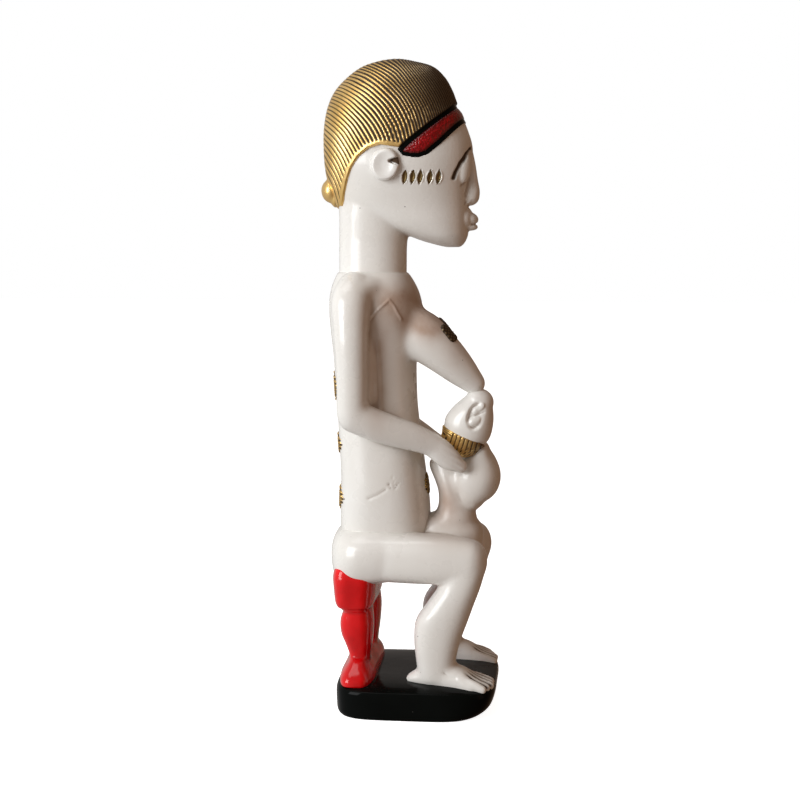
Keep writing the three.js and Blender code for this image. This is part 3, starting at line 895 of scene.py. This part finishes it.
def border_lift(points, edge):
    return -1.2 - 1.9 * step(0.5, -0.4, edge)


def red_reach(points):
    """The red lies high in the black, which is so thicker below."""
    return inside(side_view(points) - RED_RISE, BAND) - RED_INSET


def red_lift(points, edge):
    round_top = np.sqrt(np.clip(edge / 4.5, 0, 1)) * 0.9
    return -1.15 + round_top - 1.8 * step(0.3, -0.4, edge)


def red_values(points, edge):
    # Darker towards the edges of the red, where it dips into the black: painted shade.
    return {"hollow_shade": step(2.4, 0.4, edge)}


band_form = stack(HAIR[2:10], power=2.25, around=480, steps=22)
border = shell("painted_headband_border", band_form, border_reach, border_lift)
headband = shell("painted_headband", band_form, red_reach, red_lift, values=red_values)

# %% [markdown]
# ## The child's head
# It lies back in the mother's hand, with its face up to her breast. Each ear shows as an oval recess
# with two small bumps. The hair is a gold cap on the back of the head, ribbed from its upper end.

# %% Child's head
CHILD_HEAD = [
    [26.4, -7.6, 160, 11.4, 10],
    [30.2, -7.8, 167, 14.4, 12],
    [34.2, -8, 175.4, 12.6, 11.4],
    [37.4, -8.2, 183, 8.6, 8.8],
]
CHILD_EAR = np.array([36.2, 175.4])


def child_head_cuts(points, normals):
    u, v = (side_view(points) - CHILD_EAR).T
    u = u - 0.16 * v
    facing_out = step(0.2, 0.55, np.abs(normals[:, 1]))
    size = np.hypot(u / 6.2, v / 8.8)
    bowl = step(1, 0.72, size) * step(5.5, -0.5, u)
    flat = np.stack([u, v], 1)
    upper = np.clip(1 - (to_path(flat, [(-0.6, 4.2), (1.4, 5.6)]) / 2.7) ** 2.2, 0, 1)
    lower = np.clip(1 - np.hypot((u + 0.9) / 4.2, (v + 2.6 - 0.2 * u) / 3.7) ** 2.2, 0, 1)
    slit = step(1.0, 0.1, np.abs(v - 1.0 - 0.3 * u)) * step(3.4, 2, np.abs(u - 2))
    ear_relief = -2.0 * bowl + 1.5 * upper + 1.9 * lower - 0.5 * slit
    return facing_out * ear_relief + 0.08 * ripple(points, 9)


child_head = carve("carved_child_head", [limb(CHILD_HEAD, dome=0.9)], grain=0.45, rounds=8)
press(child_head, child_head_cuts)
set_points(child_head, worn(points_of(child_head), edges_of(child_head), 1))
finish_piece(child_head)

# %% Child's hair
CHILD_HAIR_OUTLINE = [
    (6, 171), (17.2, 168.9), (25.6, 164.8), (34, 161.2), (38.4, 159.8),
    (40.5, 158.2), (40.9, 155.7), (39.1, 152), (32, 148.6), (6, 148),
]


def rib(points):
    """Ribs fan out from the upper end of the child's hair."""
    x, z = points[:, 0] - 14, points[:, 2] - 168
    along, across = x * 0.86 - z * 0.5, x * 0.5 + z * 0.86
    fan = np.cos(across * 4.6 / (0.3 + 0.1 * np.maximum(along, 0)))
    bars = np.cos(along * 2.6 + across * 0.5)
    return 0.8 * step(0.7, 1, 0.5 + 0.5 * np.where(along < 9, fan, bars))


def child_hair_reach(points):
    return inside(side_view(points), CHILD_HAIR_OUTLINE)


def child_hair_lift(points, edge):
    return 1.0 - 2.4 * step(0.8, -0.4, edge) - 0.55 * rib(points)


def child_hair_values(points, edge):
    # Painted shade: the front end of the child's hair is darker.
    return {"groove": rib(points), "shade_by_place": 0.9 * step(26, 40, points[:, 0])}


cap_form = limb(CHILD_HEAD, dome=0.9, around=260, steps=40)
child_hair = shell(
    "carved_child_hair", cap_form, child_hair_reach, child_hair_lift, depth=1.6, values=child_hair_values
)

# %% [markdown]
# ## Scars
# Patches of raised scars are marks of beauty and of standing. There are three down the spine, one
# round the navel and one on each breast. Each is a lozenge or a block of small beads, gilded.


# %% Scar patches
def patch(name, form, middle, ways, size, bead=2.3, square=1.6, shade_by_place=0.0):
    """Beads in a lozenge of that length and width; a square of 2 or more makes it a block."""
    length_way, width_way = (np.array(way) / np.linalg.norm(way) for way in ways)
    facing = np.cross(length_way, width_way)
    lozenge = square < 2
    rise = 0.75 if lozenge else 0.4

    def local(points):
        off = points - np.array(middle)
        return off @ length_way, off @ width_way, off @ facing

    def reach(points):
        u, v, w = local(points)
        ragged = (0.09 * np.sin(u * 2.9) + 0.09 * np.sin(v * 2.3 + 1)) * lozenge
        share_u, share_v = np.abs(u / (size[0] / 2)), np.abs(v / (size[1] / 2))
        out = (share_u**square + share_v**square) ** (1 / square)
        return (1 + ragged - out) * min(size) / 2 - 40 * (np.abs(w) > 9)

    def beads(points):
        u, v, _ = local(points)
        return np.clip(np.cos(u * 2 * math.pi / bead) * np.cos(v * 2 * math.pi / bead) + 0.35, 0, 1.35) / 1.35

    def lift(points, edge):
        return 0.35 + rise * beads(points) - 1.2 * step(0.5, -0.4, edge)

    def values(points, edge):
        return {"groove": 0.75 - 0.75 * beads(points), "shade_by_place": np.full(len(points), shade_by_place)}

    return shell(name, form, reach, lift, depth=1.4, values=values)


# %% Scars on the back, the belly and the breasts
ACROSS, UP = (0, 1, 0), (0, 0, 1)
BACK_SCARS = {
    "upper": ((-48, 0, 191), (34, 17)),
    "middle": ((-46.4, 0, 157), (31, 13)),
    "lower": ((-45.6, 0, 125), (34, 15)),
}
BREAST_SCARS = {
    RIGHT: ((18.6, -16.4, 222.6), (0.68, 0, -0.73)),
    LEFT: ((13, 17, 222.4), (0.8, 0.04, -0.6)),
}
fine_torso = stack(TORSO, power=2.6, around=420, steps=24)
back = {}
for level, (middle, size) in BACK_SCARS.items():
    back[level] = patch(f"gilt_back_scars_{level}", fine_torso, middle, (ACROSS, UP), size)
navel = patch("gilt_navel_scars", fine_torso, (6, 0, 132.5), (ACROSS, UP), (18, 12))
breast_scars = {}
for side, (middle, slope) in BREAST_SCARS.items():
    name, fine_breast = f"gilt_{SIDES[side]}_breast_scars", limb(BREASTS[side], around=260, steps=44)
    # Painted shade darkens the breast scars nearly wholly.
    breast_scars[side] = patch(
        name, fine_breast, middle, (slope, ACROSS), (12, 8.4), bead=2.4, square=4, shade_by_place=0.97
    )

# %% [markdown]
# ## Stool and plinth
# The stool is a thick block of a seat on two swelling legs, which stand on one flared rail. The
# plinth is a rounded square with a slightly crowned top. Both are thick with glossy enamel.

# %% Stool
SEAT = [
    [59, -39, -28, 28],
    [60.6, -43.6, -25.2, 32],
    [64, -46.8, -23.6, 34],
    [72, -47.8, -22.8, 34.6],
    [80, -48.2, -22.4, 34.6],
    [86, -47, -23.6, 33],
]
STOOL_LEG = [
    [28, -38, -26.2, 8.6],
    [33, -38.6, -25.8, 8.8],
    [39, -40.6, -25, 10.4],
    [46, -43.2, -24.4, 11.8],
    [54, -43.6, -24.2, 12],
    [62, -41, -25, 11.4],
]
STOOL_FOOT = [
    [17, -43.4, -22.6, 41.6],
    [21, -43.6, -22.6, 41.4],
    [24.6, -42, -23.6, 38.6],
    [28, -39.6, -25.6, 34.6],
    [31.4, -37.8, -27.4, 30.6],
]
STOOL_LEG_SPREAD = 19
SEAT_CUT_HEIGHT = 61.4


def stool_cuts(points, normals):
    """One cut round the lower edge of the seat, and hand-made unevenness."""
    return -0.5 * step(1.2, 0.1, np.abs(points[:, 2] - SEAT_CUT_HEIGHT)) + 0.22 * ripple(points, 9)


stool_forms = [stack(SEAT, power=4.6), stack(STOOL_FOOT, power=4)]
stool_forms += [stack(STOOL_LEG, y=side * STOOL_LEG_SPREAD, power=3) for side in SIDES]
stool = carve("turned_stool", stool_forms, grain=0.7, rounds=10)
press(stool, stool_cuts)
finish_piece(stool)

# %% Plinth
PLINTH = [
    [0, -42.6, 35, 45.8],
    [0.6, -44.2, 38.4, 46.7],
    [2.4, -45.4, 42.8, 47.2],
    [6, -45.8, 46.6, 47.3],
    [12, -46, 48.6, 47.2],
    [15.4, -45.6, 48.4, 46.8],
    [17, -44, 46.6, 45],
    [18.6, -37, 38, 38],
    [19.2, -26, 26, 26],
    [19.3, -4, 4, 4],
]
plinth = to_object("enamelled_plinth", *stack(PLINTH, power=5, around=180, steps=10))
press(plinth, lambda points, normals: 0.18 * ripple(points, 16) * step(0.5, 3, points[:, 2]))
finish_piece(plinth)
print("enamelled_plinth has", len(plinth.data.vertices), "points")

# %% [markdown]
# ## Shader sums
# A finish is easier to read as a sum than as a net of nodes. This small class wraps a shader socket,
# so that ordinary Python operators add the Math nodes. One function adds every other kind of node:
# its settings come first, because they can change which sockets it has.


# %% Shader helpers
class Value:
    """A shader socket that can be used in sums."""

    def __init__(self, tree, socket):
        self.tree, self.socket = tree, socket

    def maths(self, operation, *others):
        node = self.tree.nodes.new("ShaderNodeMath")
        node.operation = operation
        for socket, item in zip(node.inputs, (self, *others)):
            plug(self.tree, item, socket)
        return Value(self.tree, node.outputs[0])

    def __add__(self, other):
        return self.maths("ADD", other)

    def __mul__(self, other):
        return self.maths("MULTIPLY", other)

    def __sub__(self, other):
        return self.maths("SUBTRACT", other)

    def __rsub__(self, other):
        return (self * -1.0) + other

    __radd__, __rmul__ = __add__, __mul__


def plug(tree, item, socket):
    if isinstance(item, Value):
        tree.links.new(item.socket, socket)
    else:
        socket.default_value = item


def add_node(tree, kind, settings=None, **sockets):
    node = tree.nodes.new(kind)
    for key, value in (settings or {}).items():
        setattr(node, key, value)
    for name, item in sockets.items():
        plug(tree, item, node.inputs[name.replace("_", " ")])
    return node


# The Mix node has a set of sockets for each kind of data, and these are the ones for colours.
MIX_SHARE, MIX_FIRST, MIX_SECOND, MIX_RESULT = 0, 6, 7, 2


def mixed(tree, share, first, second):
    """The first colour where the share is 0, and the second where it is 1."""
    node = add_node(tree, "ShaderNodeMix", {"data_type": "RGBA"})
    for index, item in ((MIX_SHARE, share), (MIX_FIRST, first), (MIX_SECOND, second)):
        plug(tree, item, node.inputs[index])
    return Value(tree, node.outputs[MIX_RESULT])


# %% A finish
SMOOTH = {"interpolation_type": "SMOOTHSTEP"}


class Finish:
    """A material whose nodes are added one call at a time."""

    def __init__(self, name, **constants):
        self.material = bpy.data.materials.new(name)
        self.material.use_nodes = True
        self.tree = self.material.node_tree
        self.shader = self.tree.nodes["Principled BSDF"]
        self.give(**constants)
        self.place = self.node("ShaderNodeTexCoord", out="Object")

    def node(self, kind, settings=None, out=0, **sockets):
        return Value(self.tree, add_node(self.tree, kind, settings, **sockets).outputs[out])

    def noise(self, size, detail=3.0, stretch=(1, 1, 1)):
        """Soft clouds of about that size in mm, between 0 and 1."""
        place = self.node("ShaderNodeMapping", Vector=self.place, Scale=stretch)
        return self.node("ShaderNodeTexNoise", Vector=place, Scale=1 / (size * MM), Detail=detail)

    def cells(self, size):
        """Distance from the middle of random cells of that size in mm: 0 in the middle."""
        return self.node("ShaderNodeTexVoronoi", out="Distance", Vector=self.place, Scale=1 / (size * MM))

    def stored(self, name):
        return self.node("ShaderNodeAttribute", {"attribute_name": name}, out="Fac")

    def between(self, value, low, high):
        """0 below low and 1 above high."""
        return self.node("ShaderNodeMapRange", SMOOTH, Value=value, From_Min=low, From_Max=high)

    def mix(self, share, first, second):
        return mixed(self.tree, share, first, second)

    def bump(self, height, size, strength=1.0):
        """Height from 0 to 1 makes bumps of that size in mm."""
        return self.node("ShaderNodeBump", Height=height, Distance=size * MM, Strength=strength)

    def give(self, **sockets):
        for name, item in sockets.items():
            plug(self.tree, item, self.shader.inputs[name.replace("_", " ")])
        return self.material


# %% [markdown]
# ## Finishes
# White enamel covers the figure: brushed on thick, glossy, a little warm, with specks of dust in it and
# painted shade in the hollows. On the chest, the armpits, the lap and under the child it is painted a warm
# brown as painted shade, and there it is rubbed rougher and has lost its gloss.
# The same material paints the brown lines, the painted shade in the ear notches and the gilt cuts of the
# temples, from numbers stored on the points, because they run over the same skin.


# %% White enamel
CLEAN_WHITE, WARM_WHITE = (0.83, 0.825, 0.80, 1), (0.77, 0.745, 0.695, 1)
WARM_SHADE_WHITE, SHADE_IN_HOLLOWS = (0.42, 0.29, 0.215, 1), (0.30, 0.235, 0.18, 1)
SPECK, BROWN_PAINT_AND_SHADE = (0.06, 0.055, 0.045, 1), (0.06, 0.03, 0.012, 1)
GILT, WORN_GILT = (0.36, 0.25, 0.09, 1), (0.12, 0.075, 0.03, 1)
SPECKS_APART = 9


def dust(finish, size):
    """1 on rare specks of that size in mm, from the middles of random cells."""
    cells, chance = finish.cells(SPECKS_APART), finish.noise(13, 0)
    speck = finish.between(cells, size / SPECKS_APART, size / (2 * SPECKS_APART))
    return speck * finish.between(chance, 0.52, 0.58)


def white_enamel():
    f = Finish("white_enamel", Coat_Roughness=0.05, Coat_IOR=1.5)
    colour = f.mix(f.noise(26, 4), CLEAN_WHITE, WARM_WHITE)
    # Warm brown on the chest, armpits, lap and under the child is painted shade; there the enamel is also
    # rougher and less glossy.
    warm_shade_and_rub = f.stored("shade_and_rub") * (f.between(f.noise(16, 4), 0.2, 0.75) * 0.5 + 0.5)
    colour = f.mix(warm_shade_and_rub, colour, WARM_SHADE_WHITE)
    # Darker in the hollows: painted shade.
    colour = f.mix(f.between(f.stored("hollow_shade"), 0.25, 1.0) * 0.55, colour, SHADE_IN_HOLLOWS)
    colour = f.mix(dust(f, 0.42), colour, SPECK)
    line, gilt = f.stored("brown_paint_and_shade"), f.stored("gilt")
    colour = f.mix(line, colour, BROWN_PAINT_AND_SHADE)
    brush = f.noise(7, 3, (1, 1, 0.25)) * 0.6 + f.noise(2.2, 2) * 0.4
    return f.give(
        Base_Color=f.mix(gilt, colour, f.mix(f.noise(1.6, 2), GILT, WORN_GILT)),
        Roughness=f.noise(11, 3) * 0.16 + warm_shade_and_rub * 0.2 + line * 0.4 + 0.2,
        Metallic=gilt * 0.7,
        Coat_Weight=(0.35 - gilt * 0.3) * (1 - line) * (1 - warm_shade_and_rub),
        Normal=f.bump(brush, 0.32, 0.55),
    )


# %% [markdown]
# The gold is bronze powder in varnish, bright on the ridges. It is painted dull brown as shade on the front
# and top of the hair, the front of the child's hair and the breast scars, painted darker in the hollows, and
# painted nearly black in the cuts and between the beads, all as painted shade.

# %% Gold
BRIGHT_GOLD, DEEP_GOLD = (0.93, 0.64, 0.25, 1), (0.78, 0.50, 0.16, 1)
GOLD_IN_SHADE, GOLD_SHADE_IN_HOLLOWS = (0.15, 0.105, 0.06, 1), (0.17, 0.095, 0.02, 1)
SHADE_IN_CUTS = (0.035, 0.019, 0.006, 1)


def gold_paint():
    f = Finish("gold_paint", Coat_Roughness=0.12)
    # Nearly black in the cuts and between the beads: painted shade.
    cut = f.between(f.stored("groove"), 0.18, 0.62)
    colour = f.mix(f.between(f.noise(15, 4), 0.36, 0.66), BRIGHT_GOLD, DEEP_GOLD)
    # Darker on the front of the hair, on the breast scars and in the hollows: painted shade.
    colour = f.mix(f.stored("shade_by_place"), colour, GOLD_IN_SHADE)
    colour = f.mix(f.stored("hollow_shade") * 0.7, colour, GOLD_SHADE_IN_HOLLOWS)
    return f.give(
        Base_Color=f.mix(cut, colour, SHADE_IN_CUTS),
        Metallic=0.92 - cut * 0.55,
        Roughness=f.noise(4, 3) * 0.22 + cut * 0.25 + 0.24,
        Coat_Weight=0.15,
        Normal=f.bump(f.noise(0.5, 2), 0.10, 0.6),
    )


# %% [markdown]
# Red and black are hard enamel too. The red of the headband is darker than the stool's, and it lies in fine
# beads that glint: a bump made from random cells gives them, without thousands of meshes. Between the beads,
# and in the hollows, the red is painted darker as painted shade.

# %% Red and black
STOOL_RED = ((0.8, 0.006, 0.009, 1), (0.58, 0.002, 0.004, 1))
HEADBAND_RED = ((0.38, 0.003, 0.006, 1), (0.2, 0.002, 0.003, 1))
RED_SHADOW, RED_SPECK, RED_SHADE_BETWEEN_BEADS = (0.03, 0.0, 0.001, 1), (0.05, 0.0, 0.0, 1), (0.12, 0.001, 0.002, 1)
BLACK, GREY_BLACK, BLACK_SPECK = (0.0015, 0.002, 0.0018, 1), (0.004, 0.005, 0.0045, 1), (0.25, 0.24, 0.22, 1)


def red_enamel(name, bright, dark, shadow, bead=0.0):
    """Red enamel, in beads of that size in mm where it isn't 0."""
    f = Finish(name, Coat_Weight=0.25, Coat_Roughness=0.03, Specular_IOR_Level=0.32)
    colour = f.mix(f.between(f.noise(20, 3), 0.35, 0.7), bright, dark)
    colour = f.mix(f.stored("hollow_shade") * shadow, colour, RED_SHADOW)
    colour = f.mix(dust(f, 0.35), colour, RED_SPECK)
    if bead:
        cells = f.cells(bead)
        normal = f.bump(1 - cells, 0.55, 0.9)
        # Darker between the beads: painted shade.
        colour = f.mix(f.between(cells, 0.35, 0.7) * 0.6, colour, RED_SHADE_BETWEEN_BEADS)
    else:
        normal = f.bump(f.noise(8, 3), 0.35, 0.5)
    return f.give(Base_Color=colour, Roughness=f.noise(9, 2) * 0.12 + 0.07, Normal=normal)


def black_enamel():
    f = Finish("black_enamel", Specular_IOR_Level=0.05)
    colour = f.mix(f.noise(18, 4), BLACK, GREY_BLACK)
    return f.give(
        Base_Color=f.mix(dust(f, 0.4) * 0.5, colour, BLACK_SPECK),
        Roughness=f.noise(12, 3) * 0.12 + 0.03,
        Normal=f.bump(f.noise(10, 3), 0.3, 0.45),
    )


white, gold, black = white_enamel(), gold_paint(), black_enamel()
red = red_enamel("red_enamel", *STOOL_RED, shadow=0.3)
beaded_red = red_enamel("beaded_red_enamel", *HEADBAND_RED, shadow=0.85, bead=1.3)
print("finishes:", ", ".join(finish.name for finish in (white, gold, red, beaded_red, black)))

# %% [markdown]
# ## What each piece stands for
# The frame's solids keep their places for physics. Each carved piece says which of them it stands for, so
# that they aren't shown twice, and wears its finish.


# %% Pieces to the frame
def place_piece(piece, finish, slot, *nodes):
    piece.data.materials.clear()
    piece.data.materials.append(finish)
    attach(piece, "root")
    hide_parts(*nodes)


ARM_PARTS, LEG_PARTS = ("upper_arm", "forearm", "hand", "breast"), ("thigh", "shin", "foot")
arm_nodes = [f"{side}_{part}" for side in SIDES.values() for part in ARM_PARTS]
leg_nodes = [f"{side}_{part}" for side in SIDES.values() for part in LEG_PARTS]
child_nodes = ["child_body", "child_leg_near", "child_leg_far"]
place_piece(trunk, white, "white_paint", "torso", *arm_nodes)
place_piece(legs, white, "white_paint", "hips", "lap", *child_nodes, *leg_nodes)
place_piece(head, white, "white_paint", "head", "neck")
for side, name in SIDES.items():
    place_piece(ears[side], white, "white_paint", f"{name}_ear")
place_piece(child_head, white, "white_paint", "child_head", "child_ear")
place_piece(hair, gold, "gold_paint", "hair")
place_piece(knot, gold, "gold_paint", "hair_knot")
place_piece(child_hair, gold, "gold_paint", "child_hair")
for level, piece in back.items():
    place_piece(piece, gold, "gold_paint", f"back_scars_{level}")
place_piece(navel, gold, "gold_paint", "navel_scars")
for side, name in SIDES.items():
    place_piece(breast_scars[side], gold, "gold_paint", f"{name}_breast_scars")
place_piece(headband, beaded_red, "red_paint", "headband")
place_piece(border, black, "black_paint", "headband_border")
place_piece(stool, red, "red_paint", "stool_seat", "stool_foot", "stool_leg_right", "stool_leg_left")
place_piece(plinth, black, "black_paint", "base_plinth")

# %% [markdown]
# ## Floor, light and camera
# The figure stands on a plain white floor. A big soft light from behind the left shoulder of the
# viewer gives the enamel its long highlights, and a weak warm one from the right tints the shadows.
# The sky is bright to the figure's back and dim and warm before it, so its front is in soft shade,
# but the camera sees it as plain white.

# %% Floor
FLOOR_GLOW, SKY_STRENGTH = 0.93, 0.62
bpy.ops.mesh.primitive_plane_add(size=8)
floor = bpy.context.object
floor.name = "floor"
floor_finish = Finish("floor_white", Emission_Color=(1, 1, 1, 1), Emission_Strength=FLOOR_GLOW)
floor.data.materials.append(floor_finish.give(Base_Color=(0.95, 0.95, 0.95, 1), Roughness=0.9))
floor.visible_diffuse = False
floor.visible_glossy = False

# %% Sky
DIM_WARM, BRIGHT = (0.25, 0.145, 0.085, 1), (0.97, 0.96, 0.95, 1)
world = bpy.data.worlds.new("studio")
bpy.context.scene.world = world
world.use_nodes = True
sky = world.node_tree
for node in list(sky.nodes):
    sky.nodes.remove(node)

direction = Value(sky, add_node(sky, "ShaderNodeTexCoord").outputs["Generated"])
forward = Value(sky, add_node(sky, "ShaderNodeSeparateXYZ", Vector=direction).outputs["X"])
share = add_node(sky, "ShaderNodeMapRange", SMOOTH, Value=forward, From_Min=0.55, From_Max=-0.9)
glow = mixed(sky, Value(sky, share.outputs[0]), DIM_WARM, BRIGHT)
lit = add_node(sky, "ShaderNodeBackground", Color=glow, Strength=SKY_STRENGTH)
seen = add_node(sky, "ShaderNodeBackground", Color=(1, 1, 1, 1))
camera_ray = Value(sky, add_node(sky, "ShaderNodeLightPath").outputs["Is Camera Ray"])
either = add_node(sky, "ShaderNodeMixShader", Fac=camera_ray)
sky.links.new(lit.outputs[0], either.inputs[1])
sky.links.new(seen.outputs[0], either.inputs[2])
add_node(sky, "ShaderNodeOutputWorld", Surface=Value(sky, either.outputs[0]))


# %% Lights
def area_light(name, place, aim, size, power, colour):
    lamp = bpy.data.lights.new(name, "AREA")
    lamp.shape = "RECTANGLE"
    lamp.size, lamp.size_y = size
    lamp.energy = power
    lamp.color = colour
    thing = bpy.data.objects.new(name, lamp)
    thing.location = place
    thing.rotation_euler = (Vector(aim) - Vector(place)).to_track_quat("-Z", "Y").to_euler()
    bpy.context.scene.collection.objects.link(thing)


CHEST = (0, 0, 0.2)
area_light("window", (-0.95, -0.95, 0.55), CHEST, (0.7, 0.9), 14.5, (0.98, 0.99, 1.0))
area_light("top", (-0.35, -0.2, 1.3), CHEST, (0.6, 0.6), 2.5, (1.0, 1.0, 1.0))
area_light("warm_side", (0.9, -0.35, 0.25), CHEST, (0.5, 0.9), 0.6, (1.0, 0.6, 0.4))
print("lamps:", ", ".join(lamp.name for lamp in bpy.data.lights))

# %% Camera
VIEW_TURN, VIEW_RISE, VIEW_DISTANCE = math.radians(6), math.radians(7), 0.938
AIM = Vector((-0.0104, 0, 0.1822))
LENS, SENSOR = 70.9, 36
camera_data = bpy.data.cameras.new("camera")
camera_data.sensor_width = SENSOR
camera_data.lens = LENS
camera = bpy.data.objects.new("camera", camera_data)
flat = math.cos(VIEW_RISE)
away = Vector((math.sin(VIEW_TURN) * flat, -math.cos(VIEW_TURN) * flat, math.sin(VIEW_RISE)))
camera.location = AIM + away * VIEW_DISTANCE
camera.rotation_euler = (-away).to_track_quat("-Z", "Y").to_euler()
bpy.context.scene.collection.objects.link(camera)
bpy.context.scene.camera = camera
bpy.context.scene.view_settings.view_transform = "Standard"
print("camera at", [round(v, 3) for v in camera.location])
